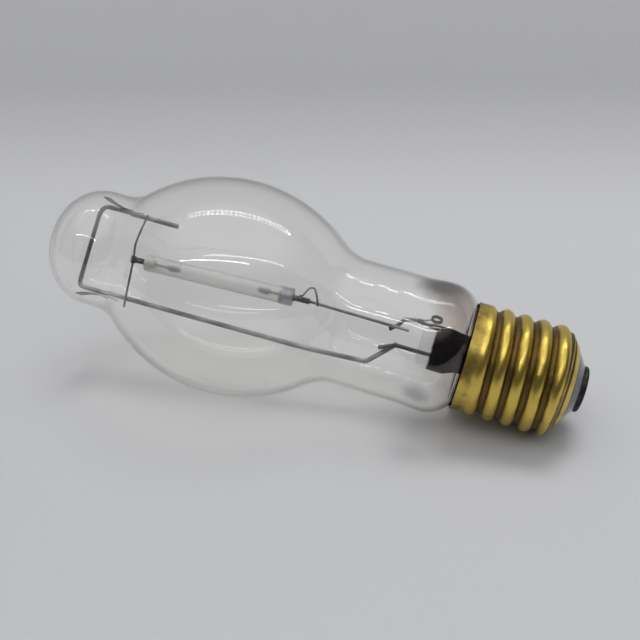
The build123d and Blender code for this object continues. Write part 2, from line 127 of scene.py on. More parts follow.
class Tree:
    """Adds nodes to a node tree and joins them."""

    def __init__(self, tree: NodeTree) -> None:
        """Keeps the tree that the nodes go into."""
        self.tree = tree

    def add(self, kind: str, values: Values | None = None, **settings: object) -> Node:
        """Adds a node.

        Args:
            kind: the node's type, without the ShaderNode in front.
            values: inputs by name or place, each a constant or the socket that feeds it.
            settings: properties of the node.

        Returns:
            The new node.
        """
        node = self.tree.nodes.new("ShaderNode" + kind)
        for name, setting in settings.items():
            setattr(node, name, setting)
        self.fill(node, values or {})
        return node

    def fill(self, node: Node, values: Values) -> None:
        """Gives inputs of a node their constants, or the sockets that feed them."""
        for key, value in values.items():
            if isinstance(value, Socket):
                self.tree.links.new(value, node.inputs[key])
            else:
                node.inputs[key].default_value = value

    def math(self, operation: str, *values: Value) -> Socket:
        """The result of a math node on one to three values."""
        return self.add("Math", dict(enumerate(values)), operation=operation).outputs[0]

    def dot(self, first: Value, second: Value) -> Socket:
        """The dot product of two vectors."""
        both = {0: first, 1: second}
        return self.add("VectorMath", both, operation="DOT_PRODUCT").outputs["Value"]

    def ramp(self, value: Value, low: float, high: float, smooth: bool = True) -> Socket:
        """A value from 0 at low to 1 at high, held at both ends."""
        kind = "SMOOTHSTEP" if smooth else "LINEAR"
        return self.add(
            "MapRange", {"Value": value, "From Min": low, "From Max": high}, interpolation_type=kind
        ).outputs["Result"]

    def mix(self, share: Value, first: Value, second: Value) -> Socket:
        """A colour between two others."""
        return self.add("Mix", {0: share, 6: first, 7: second}, data_type="RGBA").outputs[2]

    def noise(self, place: Value, scale: Value, detail: float = 3.0, kind: str = "Fac") -> Socket:
        """Noise from 0 to 1, one value or by kind a Color, with a scale in waves a millimetre."""
        values = {"Vector": place, "Scale": scale, "Detail": detail}
        return self.add("TexNoise", values).outputs[kind]

    def facing(self) -> Socket:
        """How far the surface turns away from the view, up to 1 at the outline."""
        return self.add("LayerWeight", {"Blend": 0.5}).outputs["Facing"]

    def on_rays(self, *kinds: str) -> Socket:
        """1 on rays of the kinds named, as the Light Path node names them, and 0 on others."""
        path = self.add("LightPath")
        found = path.outputs[kinds[0]]
        for kind in kinds[1:]:
            found = self.math("MAXIMUM", found, path.outputs[kind])
        return found


def rgba(colour: Colour) -> tuple[float, float, float, float]:
    """A colour with full alpha."""
    return (*colour, 1.0)


def darker(colour: Colour, share: float) -> Colour:
    """A colour at a share of its brightness."""
    return tuple(share * part for part in colour)


def new_group(name: str, inputs: Kinds, outputs: Kinds) -> tuple[Tree, Sockets, Node]:
    """Starts a shader node group.

    Args:
        name: the group's name.
        inputs: socket names and kinds, as Float, Color or Vector.
        outputs: the same for what it puts out.

    Returns:
        The group's tree, the sockets that are given to it and its output node.
    """
    group = bpy.data.node_groups.new(name, "ShaderNodeTree")
    for direction, sockets in (("INPUT", inputs), ("OUTPUT", outputs)):
        for socket, kind in sockets.items():
            kind = "NodeSocket" + kind
            group.interface.new_socket(name=socket, in_out=direction, socket_type=kind)
    given = group.nodes.new("NodeGroupInput").outputs
    return Tree(group), given, group.nodes.new("NodeGroupOutput")


class Effects:
    """The surface effects that several finishes share, each a node group built once."""

    streak_stretch = (6.0, 6.0, 0.35)
    streak_share = 0.45
    patch_share = 0.75
    dull_range = (0.42, 0.78)
    dull_roughness = 0.18
    coarse_share = 0.65
    grain_range = (0.3, 0.7)
    fine_grains = 7.0
    cloud_swing = 1.3
    stain_and_shade_range = (0.15, 0.85)
    spot_range = (0.62, 0.72)
    fine_spots = 9.0

    def __init__(self, lamp: Lamp) -> None:
        """Builds the groups.

        Args:
            lamp: where the lamp lies, for the effects that follow its axis.
        """
        self.lamp = lamp
        self.materials: dict[str, Material] = {}
        self.place = self._place_on_lamp()
        self.drawn = self._drawn_metal()
        self.grain = self._fine_grain()
        self.tarnish_and_shade = self._tarnish_and_shade()

    def _place_on_lamp(self) -> NodeTree:
        """Where a point lies on the lamp: x, y and s, and its distance from the axis."""
        tree, _, out = new_group(
            "place_on_lamp", {}, {"Place": "Vector", "Height": "Float", "Radius": "Float"}
        )
        turn = self.lamp.matrix.to_3x3()
        here = tree.add("TexCoord").outputs["Object"]
        contact = self.lamp.contact[:]
        local = tree.add("VectorMath", {0: here, 1: contact}, operation="SUBTRACT").outputs[0]
        parts = [tree.dot(local, (axis.normalized() / MM)[:]) for axis in turn.col]
        joined = tree.add("CombineXYZ", dict(enumerate(parts))).outputs[0]
        flat = tree.add("CombineXYZ", {0: parts[0], 1: parts[1]}).outputs[0]
        length = tree.add("VectorMath", {0: flat}, operation="LENGTH").outputs["Value"]
        tree.fill(out, {"Place": joined, "Height": parts[2], "Radius": length})
        return tree.tree

    def _drawn_metal(self) -> NodeTree:
        """Drawn wire: streaks along the lamp, with duller patches."""
        tree, given, out = new_group(
            "drawn_metal",
            {"Bright": "Color", "Dull": "Color", "Patches": "Float", "Roughness": "Float"},
            {"Color": "Color", "Roughness": "Float", "Height": "Float"},
        )
        place = tree.add("Group", node_tree=self.place).outputs["Place"]
        stretched = {"Vector": place, "Scale": self.streak_stretch}
        streak = tree.noise(tree.add("Mapping", stretched).outputs[0], 1.0, 4.0)
        patch = tree.noise(place, given["Patches"], 2.0)
        patch = tree.math("MULTIPLY", patch, self.patch_share)
        share = tree.math("ADD", tree.math("MULTIPLY", streak, self.streak_share), patch)
        share = tree.ramp(share, *self.dull_range)
        colour = tree.mix(share, given["Bright"], given["Dull"])
        rough = tree.math("MULTIPLY_ADD", share, self.dull_roughness, given["Roughness"])
        tree.fill(out, {"Color": colour, "Roughness": rough, "Height": streak})
        return tree.tree

    def _fine_grain(self) -> NodeTree:
        """Grain of a cast, pressed or sintered surface."""
        tree, given, out = new_group(
            "fine_grain",
            {"Light": "Color", "Dark": "Color", "Scale": "Float", "Contrast": "Float"},
            {"Color": "Color", "Mask": "Float", "Height": "Float"},
        )
        place = tree.add("Group", node_tree=self.place).outputs["Place"]
        scale = given["Scale"]
        coarse = tree.noise(place, scale, 2.0)
        fine = tree.noise(place, tree.math("MULTIPLY", scale, self.fine_grains), 4.0)
        fine = tree.math("MULTIPLY", fine, 1 - self.coarse_share)
        both = tree.math("ADD", tree.math("MULTIPLY", coarse, self.coarse_share), fine)
        mask = tree.math("MULTIPLY", tree.ramp(both, *self.grain_range), given["Contrast"])
        colour = tree.mix(mask, given["Light"], given["Dark"])
        tree.fill(out, {"Color": colour, "Mask": mask, "Height": both})
        return tree.tree

    def _tarnish_and_shade(self) -> NodeTree:
        """Tarnish and painted shade that gather where a mask says, with a ragged edge and small
        spots.
        """
        tree, given, out = new_group(
            "tarnish_and_shade",
            dict.fromkeys(("Clean", "Stained and Shaded", "Spot"), "Color")
            | dict.fromkeys(("Where", "Scale"), "Float"),
            {"Color": "Color", "Mask": "Float", "Height": "Float"},
        )
        place = tree.add("Group", node_tree=self.place).outputs["Place"]
        scale = given["Scale"]
        cloud = tree.noise(place, scale, 5.0)
        fine = tree.noise(place, tree.math("MULTIPLY", scale, self.fine_spots), 3.0)
        swing = tree.math("MULTIPLY_ADD", cloud, self.cloud_swing, -self.cloud_swing / 2)
        mask = tree.ramp(tree.math("ADD", given["Where"], swing), *self.stain_and_shade_range)
        colour = tree.mix(mask, given["Clean"], given["Stained and Shaded"])
        most_spots = tree.math("MULTIPLY_ADD", mask, 0.7, 0.15)
        spots = tree.math("MULTIPLY", tree.ramp(fine, *self.spot_range), most_spots)
        colour = tree.mix(spots, colour, given["Spot"])
        tree.fill(out, {"Color": colour, "Mask": mask, "Height": fine})
        return tree.tree


def new_material(name: str) -> tuple[Material, Tree, Node, Node]:
    """An empty material with a Principled shader.

    Args:
        name: the material's name.

    Returns:
        The material, its tree, the shader and the output.
    """
    material = bpy.data.materials.new(name)
    material.use_nodes = True
    material.node_tree.nodes.clear()
    tree = Tree(material.node_tree)
    shader = tree.add("BsdfPrincipled")
    out = tree.add("OutputMaterial", {"Surface": shader.outputs[0]})
    return material, tree, shader, out


def bump(tree: Tree, shader: Node, height: Socket, strength: float, depth: float) -> None:
    """Gives a shader a bump.

    Args:
        tree: the material's tree.
        shader: the shader that gets it.
        height: the height, from 0 to 1.
        strength: how strong it is, from 0 to 1.
        depth: the depth of a height of 1, in millimetres.
    """
    node = tree.add("Bump", {"Height": height, "Strength": strength, "Distance": depth * MM})
    tree.fill(shader, {"Normal": node.outputs[0]})


def grain(
    tree: Tree, effects: Effects, light: Colour, dark: Colour, scale: float, contrast: float
) -> Node:
    """Adds the fine grain from a light to a dark colour, in waves a millimetre."""
    values = {"Light": rgba(light), "Dark": rgba(dark), "Scale": scale, "Contrast": contrast}
    return tree.add("Group", values, node_tree=effects.grain)


def let_light_through(tree: Tree, shader: Node, out: Node, share: float, colour: Socket) -> None:
    """Lets the lamps' light and light from the floor pass a glass surface unbent.

    Args:
        tree: the material's tree.
        shader: the shader that the camera, mirrors and other glass see.
        out: the material's output.
        share: how much light passes.
        colour: the glass's own colour, which tints that light.
    """
    tint = tree.add("VectorMath", {0: colour, "Scale": share}, operation="SCALE").outputs[0]
    clear = tree.add("BsdfTransparent", {"Color": tint})
    unbent = tree.on_rays("Is Shadow Ray", "Is Diffuse Ray")
    both = tree.add("MixShader", {0: unbent, 1: shader.outputs[0], 2: clear.outputs[0]})
    tree.fill(out, {"Surface": both.outputs[0]})


@dataclass(frozen=True)
class FilmAndReflection:
    """A patch that tints the inside of the bulb, mostly a deposit that the getter left; one is
    partly a painted reflection.

    Args:
        place: its middle, in lamp coordinates as x, y and s.
        dense: how far from the middle it is at its densest, in millimetres.
        reach: how far from the middle it ends.
        colour: the densest colour.
        strength: how much of the colour is reached, from 0 to 1.
    """

    place: Triple
    dense: float
    reach: float
    colour: Colour
    strength: float = 1.0


@dataclass(frozen=True)
class Glass:
    """Clear glass that lets light through to what it covers.

    Args:
        name: the material's name.
        tint: its colour seen square on, and edge its colour at its outline, a painted shade there,
            partly for the longer path through the glass.
        outline: the turns away from the view between which the edge comes in.
        shade: how much of the lamps' light passes each surface.
        films_and_reflection: the getter's deposits, one of them partly a painted reflection of the
            cap's inside, on glass that ends in the cap.
        ragged: how far noise moves the films' edges.
        rim_height: the height below which painted shade darkens the glass, for the cap's dark
            inside, after rim_fade.
    """

    name: str
    tint: Colour = (1.0, 0.997, 0.988)
    edge: Colour = (1.0, 0.997, 0.988)
    outline: Point = (0.60, 0.97)
    ior: float = 1.48
    shade: float = 1.0
    films_and_reflection: tuple[FilmAndReflection, ...] = ()
    ragged: float = 4.0
    rim_height: float = 41.6
    rim_fade: float = 0.4
    # rim: the colour of the painted shade band where the glass enters the cap.
    rim: Colour = (0.02, 0.017, 0.015)

    def build(self, effects: Effects) -> Material:
        """The material, whose outline is thin and grey from painted shade and whose shadow is pale.
        """
        material, tree, shader, out = new_material(self.name)
        plain = grain(tree, effects, self.tint, darker(self.tint, 0.985), 0.05, 0.6)
        # Painted shade: the colour turns to edge towards the outline, partly for the longer path
        # through the glass.
        outline_shade = tree.ramp(tree.facing(), *self.outline)
        colour = tree.mix(outline_shade, plain.outputs["Color"], rgba(self.edge))
        if self.films_and_reflection:
            colour = self.with_films_and_painted_light(tree, effects, colour)
        tree.fill(shader, {"Base Color": colour, "Roughness": 0.0})
        tree.fill(shader, {"IOR": self.ior, "Transmission Weight": 1.0})
        let_light_through(tree, shader, out, self.shade, colour)
        return material

    def with_films_and_painted_light(self, tree: Tree, effects: Effects, colour: Socket) -> Socket:
        """The bare glass's colour with the getter's deposits and a painted reflection over it, and
        a painted shade band at the rim under them.
        """
        place = tree.add("Group", node_tree=effects.place)
        blur = tree.noise(place.outputs["Place"], 0.22, kind="Color")
        spread = {0: blur, 1: (self.ragged,) * 3, 2: place.outputs["Place"]}
        moved = tree.add("VectorMath", spread, operation="MULTIPLY_ADD").outputs[0]
        height = place.outputs["Height"]
        # Painted shade: a dark band on the glass where it enters the cap.
        rim_shade = tree.ramp(height, self.rim_height + self.rim_fade, self.rim_height)
        colour = tree.mix(rim_shade, colour, rgba(self.rim))
        # Each patch tints the glass; the warm one near the rim is partly a painted reflection of
        # the brass and cement inside the cap.
        for tint_patch in self.films_and_reflection:
            ends = {0: moved, 1: tuple(part + self.ragged / 2 for part in tint_patch.place)}
            gap = tree.add("VectorMath", ends, operation="DISTANCE").outputs["Value"]
            share = tree.math("MULTIPLY", tree.ramp(gap, tint_patch.reach, tint_patch.dense), tint_patch.strength)
            colour = tree.mix(share, colour, rgba(tint_patch.colour))
        return colour


@dataclass(frozen=True)
class StemGlass:
    """The stem's glass: clear at the press's rounded end; below it, near black with painted shade
    for the cap's dark inside seen through it, and red-brown seals.

    Args:
        name: the material's name.
        dark_top: the height up to which painted shade makes it dark, before dark_fade.
        ragged: how far noise moves that edge.
        black: the painted shade's colour, for the cap's dark inside seen through the glass, and
            seal the seals' marks in it.
        clear: the clear glass seen square on, and edge at its outline, a painted shade.
        shade: how much of the lamps' light passes each surface.
    """

    name: str = "stem_glass"
    dark_top: float = 53.2
    dark_fade: float = 1.0
    ragged: float = 1.5
    black: Colour = (0.001, 0.001, 0.0015)
    seal: Colour = (0.12, 0.035, 0.02)
    clear: Colour = (0.90, 0.90, 0.90)
    edge: Colour = (0.10, 0.10, 0.11)
    ior: float = 1.33
    shade: float = 0.7

    def build(self, effects: Effects) -> Material:
        """The material, tinted by the height on the lamp."""
        material, tree, shader, out = new_material(self.name)
        place = tree.add("Group", node_tree=effects.place)
        here, height = place.outputs["Place"], place.outputs["Height"]
        # Painted shade: below a ragged height the press turns near black, for the cap's dark inside
        # seen through it; the red-brown seal marks are the glass's own.
        edge = tree.math("MULTIPLY_ADD", tree.noise(here, 0.5), self.ragged, height)
        clear = tree.ramp(edge, self.dark_top, self.dark_top + self.dark_fade)
        seals = tree.math("MULTIPLY", tree.ramp(tree.noise(here, 0.55, 2.0), 0.52, 0.66), 0.7)
        dark = tree.mix(seals, rgba(self.black), rgba(self.seal))
        # Painted shade: the clear glass darkens to edge towards its outline.
        glass = tree.mix(tree.ramp(tree.facing(), 0.45, 0.92), rgba(self.clear), rgba(self.edge))
        colour = tree.mix(clear, dark, glass)
        tree.fill(shader, {"Base Color": colour, "Roughness": 0.03})
        tree.fill(shader, {"IOR": self.ior, "Transmission Weight": 1.0})
        let_light_through(tree, shader, out, self.shade, colour)
        return material


@dataclass(frozen=True)
class DrawnWire:
    """Bright or dull drawn metal."""

    name: str
    bright: Colour
    dull: Colour
    roughness: float = 0.3
    patches: float = 0.25
    metallic: float = 1.0
    depth: float = 0.02

    def build(self, effects: Effects) -> Material:
        """The material, with streaks along the lamp."""
        material, tree, shader, _ = new_material(self.name)
        values = {"Bright": rgba(self.bright), "Dull": rgba(self.dull)}
        values |= {"Patches": self.patches, "Roughness": self.roughness}
        drawn = tree.add("Group", values, node_tree=effects.drawn)
        colour, rough = drawn.outputs["Color"], drawn.outputs["Roughness"]
        tree.fill(shader, {"Base Color": colour, "Roughness": rough, "Metallic": self.metallic})
        bump(tree, shader, drawn.outputs["Height"], 0.5, self.depth)
        return material


@dataclass(frozen=True)
class Ceramic:
    """Sintered translucent ceramic: white, with light coming through it."""

    name: str
    colour: Colour = (0.975, 0.97, 0.965)
    see_through: float = 0.82
    roughness: float = 0.26
    ior: float = 1.6
    shade: float = 0.8

    def build(self, effects: Effects) -> Material:
        """The material."""
        material, tree, shader, out = new_material(self.name)
        sintered = grain(tree, effects, self.colour, darker(self.colour, 0.97), 0.4, 0.5)
        colour = sintered.outputs["Color"]
        tree.fill(shader, {"Base Color": colour, "Roughness": self.roughness})
        tree.fill(shader, {"IOR": self.ior, "Transmission Weight": self.see_through})
        bump(tree, shader, sintered.outputs["Height"], 0.3, 0.01)
        let_light_through(tree, shader, out, self.shade, colour)
        return material


@dataclass(frozen=True)
class Brass:
    """Rolled brass with brown patina in the grooves and on the rim band, and painted shade
    darkening the grooves and the nose's crease.

    Args:
        name: the material's name.
        clean_r: the radius from which the thread is clean, and root_r its grooves' own.
        band_from: the height where the rim band's brown patina starts; band_full has it all.
        crease: the height of the nose's crease.
        nose_clean: how far above the crease the grooves' patina and painted shade are all there.
        all_over: the patina that is everywhere; the next three are what each place adds: patina
            with painted shade in the grooves, painted shade in the crease, patina on the rim band.
    """

    name: str = "brass"
    clean_r: float = 19.3
    root_r: float = 17.8
    band_from: float = 36.6
    band_full: float = 38.4
    crease: float = 7.4
    nose_clean: float = 1.5
    all_over: float = 0.18
    groove_tarnish_and_shade: float = 0.80
    crease_shade: float = 0.95
    on_band: float = 0.30
    clouds: float = 0.16
    clean: Colour = (0.72, 0.54, 0.115)
    # The stained colour serves both the patina and the painted shade.
    stained_and_shaded: Colour = (0.17, 0.11, 0.04)
    spot: Colour = (0.10, 0.06, 0.025)

    def build(self, effects: Effects) -> Material:
        """The material, with patina and painted shade by depth in the thread and by height on the
        cap.
        """
        material, tree, shader, _ = new_material(self.name)
        place = tree.add("Group", node_tree=effects.place)
        height = place.outputs["Height"]
        # Painted shade, partly real patina: the grooves darken by their depth.
        groove = tree.ramp(place.outputs["Radius"], self.clean_r, self.root_r)
        above = tree.ramp(height, self.crease, self.crease + self.nose_clean)
        groove = tree.math("MULTIPLY", tree.math("MULTIPLY", groove, above), self.groove_tarnish_and_shade)
        # Painted shade: a dark line along the nose's crease.
        from_crease = tree.math("ABSOLUTE", tree.math("SUBTRACT", height, self.crease))
        crease = tree.math("MULTIPLY", tree.ramp(from_crease, 0.6, 0.2), self.crease_shade)
        where = tree.math("ADD", tree.math("MAXIMUM", groove, crease), self.all_over)
        band = tree.ramp(height, self.band_from, self.band_full)
        where = tree.math("MULTIPLY_ADD", band, self.on_band, where)
        values = {"Clean": rgba(self.clean), "Stained and Shaded": rgba(self.stained_and_shaded)}
        values |= {"Spot": rgba(self.spot), "Where": where, "Scale": self.clouds}
        tarnish_and_shade = tree.add("Group", values, node_tree=effects.tarnish_and_shade)
        colour = tarnish_and_shade.outputs["Color"]
        rough = tree.math("MULTIPLY_ADD", tarnish_and_shade.outputs["Mask"], 0.17, 0.30)
        tree.fill(shader, {"Base Color": colour, "Roughness": rough, "Metallic": 1.0})
        bump(tree, shader, tarnish_and_shade.outputs["Height"], 0.35, 0.03)
        return material


@dataclass(frozen=True)
class Cast:
    """A plain moulded, cast or soldered surface with a fine grain."""

    name: str
    light: Colour
    dark: Colour
    roughness: float
    metallic: float = 0.0
    coat: float = 0.0
    scale: float = 0.5
    depth: float = 0.03

    def build(self, effects: Effects) -> Material:
        """The material."""
        material, tree, shader, _ = new_material(self.name)
        cast = grain(tree, effects, self.light, self.dark, self.scale, 0.9)
        colour = cast.outputs["Color"]
        rough = tree.math("MULTIPLY_ADD", cast.outputs["Mask"], 0.12, self.roughness)
        tree.fill(shader, {"Base Color": colour, "Roughness": rough, "Metallic": self.metallic})
        tree.fill(shader, {"Coat Weight": self.coat, "Coat Roughness": 0.08})
        bump(tree, shader, cast.outputs["Height"], 0.4, self.depth)
        return material


class Finish(Enum):
    """The finishes of the lamp."""

    BULB = Glass(
        "clear_glass",
        # edge: painted shade at the bulb's outline.
        edge=(0.52, 0.52, 0.47),
        films_and_reflection=(
            FilmAndReflection((20.5, -10.5, 54.0), 3.0, 13.0, (0.11, 0.095, 0.085), 0.88),
            FilmAndReflection((15.0, -17.0, 47.0), 2.0, 13.0, (0.30, 0.25, 0.22), 0.75),
            # Partly the getter's deposit, partly a painted reflection of the brass and cement
            # inside the cap: a warm tint on the glass near the rim.
            FilmAndReflection((2.0, -12.0, 41.5), 10.0, 21.0, (0.62, 0.53, 0.47), 0.8),
            FilmAndReflection((-17.0, -14.5, 54.0), 1.0, 6.5, (0.48, 0.50, 0.56), 0.8),
        ),
    )
    STEM = StemGlass()
    TUBE_GLASS = Glass("exhaust_glass", (0.9, 0.9, 0.9), shade=0.8)
    LEAD = DrawnWire("lead_wire", (0.27, 0.26, 0.255), (0.09, 0.085, 0.085), 0.28, 0.12)
    ROD = DrawnWire("rod_metal", (0.46, 0.43, 0.41), (0.20, 0.185, 0.175), 0.3, 0.12)
    THIN = DrawnWire("thin_wire", (0.40, 0.37, 0.36), (0.17, 0.15, 0.15), 0.3)
    FRAME = DrawnWire("frame_steel", (0.48, 0.47, 0.46), (0.22, 0.215, 0.21), 0.32, 0.09)
    SPRING = DrawnWire("spring_steel", (0.34, 0.33, 0.32), (0.12, 0.115, 0.11), 0.30)
    NIOBIUM = DrawnWire("niobium", (0.26, 0.24, 0.20), (0.10, 0.09, 0.075), 0.38, 0.4)
    HEAT_BAND = DrawnWire("heat_band", (0.62, 0.62, 0.65), (0.45, 0.45, 0.48), 0.42, 0.6, 0.9)
    TUNGSTEN = DrawnWire("tungsten", (0.06, 0.06, 0.065), (0.02, 0.02, 0.022), 0.45, 0.6)
    GETTER = DrawnWire("getter_metal", (0.30, 0.30, 0.30), (0.10, 0.10, 0.10), 0.4)
    ALUMINA = Ceramic("alumina")
    PLUG = Ceramic("plug_ceramic", (0.62, 0.61, 0.59), 0.3, 0.4)
    BRASS = Brass()
    CEMENT = Cast("cement", (0.035, 0.028, 0.022), (0.012, 0.010, 0.008), 0.85, scale=0.8)
    INSULATOR = Cast(
        "black_glass", (0.070, 0.074, 0.088), (0.045, 0.047, 0.056), 0.16, coat=0.6, scale=0.25
    )
    CONTACT = Cast(
        "contact_metal", (0.040, 0.038, 0.036), (0.012, 0.011, 0.010), 0.34, 0.6, scale=0.3
    )
    SOLDER = Cast("solder", (0.20, 0.20, 0.205), (0.08, 0.08, 0.085), 0.42, 0.9, scale=0.6)

    def material(self, effects: Effects) -> Material:
        """This finish's material, built the first time that it is asked for."""
        if self.name not in effects.materials:
            effects.materials[self.name] = self.value.build(effects)
        return effects.materials[self.name]


def dress(piece: Object, material: Material) -> None:
    """Gives a piece one material all over."""
    piece.data.materials.clear()
    piece.data.materials.append(material)


def new_mesh(
    name: str, points: Iterable[Vector], faces: Iterable[Sequence[int]], smooth: bool = True
) -> Object:
    """A mesh object in the scene.

    Args:
        name: the piece's name.
        points: its vertices in the row frame.
        faces: vertex numbers of each face.
        smooth: whether it is shaded smooth.

    Returns:
        The new object.
    """
    mesh = bpy.data.meshes.new(name)
    mesh.from_pydata([tuple(point) for point in points], [], [tuple(face) for face in faces])
    mesh.update()
    if smooth:
        mesh.shade_smooth()
    piece = bpy.data.objects.new(name, mesh)
    bpy.context.scene.collection.objects.link(piece)
    return piece


def ring_faces(low: Sequence[int], high: Sequence[int]) -> Faces:
    """The faces between two rings of as many vertices."""
    after = [*range(1, len(low)), 0]
    return [[low[i], low[j], high[j], high[i]] for i, j in enumerate(after)]


def leg(slope: float, other: float) -> float:
    """One leg of a right triangle, from its slope and its other leg."""
    return sqrt(slope**2 - other**2)


def arc(centre: Point, start: Point, end: Point, step: float) -> Outline:
    """Points on the shorter arc from start to end about centre, without its start.

    Args:
        centre: the arc's centre.
        start: where it starts.
        end: where it ends.
        step: the longest chord.

    Returns:
        The points, ending on end.
    """
    radius = sqrt((start[0] - centre[0]) ** 2 + (start[1] - centre[1]) ** 2)
    first = atan2(start[1] - centre[1], start[0] - centre[0])
    last = atan2(end[1] - centre[1], end[0] - centre[0])
    sweep = (last - first + pi) % (2 * pi) - pi
    count = max(2, ceil(abs(sweep) * radius / step))
    turns = [first + sweep * (i + 1) / count for i in range(count)]
    return [(centre[0] + radius * cos(turn), centre[1] + radius * sin(turn)) for turn in turns]


def turned(
    name: str, lamp: Lamp, outline: Outline, segments: int, closed: bool = False
) -> Object:
    """A piece turned about the lamp's axis.

    Args:
        name: the piece's name.
        lamp: where the lamp lies.
        outline: radius and height of each point, in millimetres, with 0 for a point on the axis.
        segments: how many steps a turn has.
        closed: whether the last point joins the first.

    Returns:
        The new object.
    """
    points: list[Vector] = []
    rings: list[list[int]] = []
    for radius, height in outline:
        first = len(points)
        if radius < 1e-6:
            points.append(lamp.place(0.0, height))
            rings.append([first] * segments)
            continue
        for i in range(segments):
            turn = 2 * pi * i / segments
            points.append(lamp.place(radius * cos(turn), height, radius * sin(turn)))
        rings.append(list(range(first, first + segments)))
    pairs = list(zip(rings, rings[1:]))
    if closed:
        pairs.append((rings[-1], rings[0]))
    faces = [list(dict.fromkeys(face)) for low, high in pairs for face in ring_faces(low, high)]
    return new_mesh(name, points, [face for face in faces if len(face) > 2])


@dataclass
class OuterBulb:
    """The blown glass bulb, as thick glass with a fine surface."""

    lamp: Lamp
    length: float = 197.0
    wall: float = 0.9
    nub_r: float = 21.45
    crown_arc: float = 28.0
    corner_arc: float = 16.0
    nub_straight: float = 4.3
    nub_blend: float = 17.0
    bulge_r: float = 39.0
    bulge_arc: float = 56.0
    neck_blend: float = 16.0
    neck_r: float = 22.8
    shoulder_r: float = 23.3
    shoulder_fade: float = 10.0
    shoulder_arc: float = 12.0
    throat_arc: float = 10.0
    throat_r: float = 16.4
    throat_end: float = 19.0
    rim_height: float = 41.4
    rim_r: float = 18.3
    step: float = 1.1
    segments: int = 144

    def outline(self, inset: float) -> Outline:
        """The half outline from the throat to the tip.

        Args:
            inset: how far it lies inside the outer surface.

        Returns:
            Radius and height of each point.
        """
        throat_x = self.throat_r + self.throat_arc
        throat_s = self.rim_height - leg(self.throat_arc, throat_x - self.rim_r)
        shoulder_x = self.shoulder_r - self.shoulder_arc
        shoulder_s = throat_s + leg(self.throat_arc + self.shoulder_arc, throat_x - shoulder_x)
        drop = self.shoulder_r - self.neck_r
        fade = (drop**2 + self.shoulder_fade**2) / (4 * drop)
        fade_s = shoulder_s + self.shoulder_fade
        crown_s = self.length - self.crown_arc
        corner_x = self.nub_r - self.corner_arc
        corner_s = crown_s + leg(self.crown_arc - self.corner_arc, corner_x)
        nub_s = corner_s - self.nub_straight
        bulge_x = self.bulge_r - self.bulge_arc
        waist_x, neck_x = self.nub_r + self.nub_blend, self.neck_r + self.neck_blend
        bulge_s = nub_s - leg(self.bulge_arc + self.nub_blend, waist_x - bulge_x)
        neck_s = bulge_s - leg(self.bulge_arc + self.neck_blend, neck_x - bulge_x)

        throat, shoulder = (throat_x, throat_s), (shoulder_x, shoulder_s)
        fade_out, fade_in = (self.shoulder_r - fade, shoulder_s), (self.neck_r + fade, fade_s)
        neck, bulge = (neck_x, neck_s), (bulge_x, bulge_s)
        waist, corner = (waist_x, nub_s), (corner_x, corner_s)
        crown = (0.0, crown_s)
        stops = [
            (None, (self.throat_r - inset, throat_s)),
            (throat, self._towards(throat, self.throat_arc + inset, shoulder)),
            (shoulder, (self.shoulder_r - inset, shoulder_s)),
            (fade_out, self._towards(fade_out, fade - inset, fade_in)),
            (fade_in, (self.neck_r - inset, fade_s)),
            (None, (self.neck_r - inset, neck_s)),
            (neck, self._towards(neck, self.neck_blend + inset, bulge)),
            (bulge, self._towards(bulge, self.bulge_arc - inset, waist)),
            (waist, (self.nub_r - inset, nub_s)),
            (None, (self.nub_r - inset, corner_s)),
            (corner, self._towards(crown, self.crown_arc - inset, corner)),
            (crown, (0.0, self.length - inset)),
        ]
        line = [(self.throat_r - inset, self.throat_end)]
        for centre, stop in stops:
            if centre is None:
                start = line[-1]
                count = max(1, ceil(abs(stop[1] - start[1]) / (2 * self.step)))
                line += [
                    tuple(a + (b - a) * (i + 1) / count for a, b in zip(start, stop))
                    for i in range(count)
                ]
            else:
                line += arc(centre, line[-1], stop, self.step)
        line[-1] = (0.0, self.length - inset)
        return line

    @staticmethod
    def _towards(centre: Point, radius: float, other: Point) -> Point:
        """The point of a circle that lies towards another point."""
        gap = sqrt((other[0] - centre[0]) ** 2 + (other[1] - centre[1]) ** 2)
        return tuple(a + (b - a) * radius / gap for a, b in zip(centre, other))

    def build(self, effects: Effects) -> Object:
        """Makes the bulb and puts it in place of its CAD node."""
        wall = [*self.outline(0.0), *reversed(self.outline(self.wall))]
        bulb = turned("bulb_glass", self.lamp, wall, self.segments, closed=True)
        dress(bulb, Finish.BULB.material(effects))
        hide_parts("outer_bulb")
        return bulb


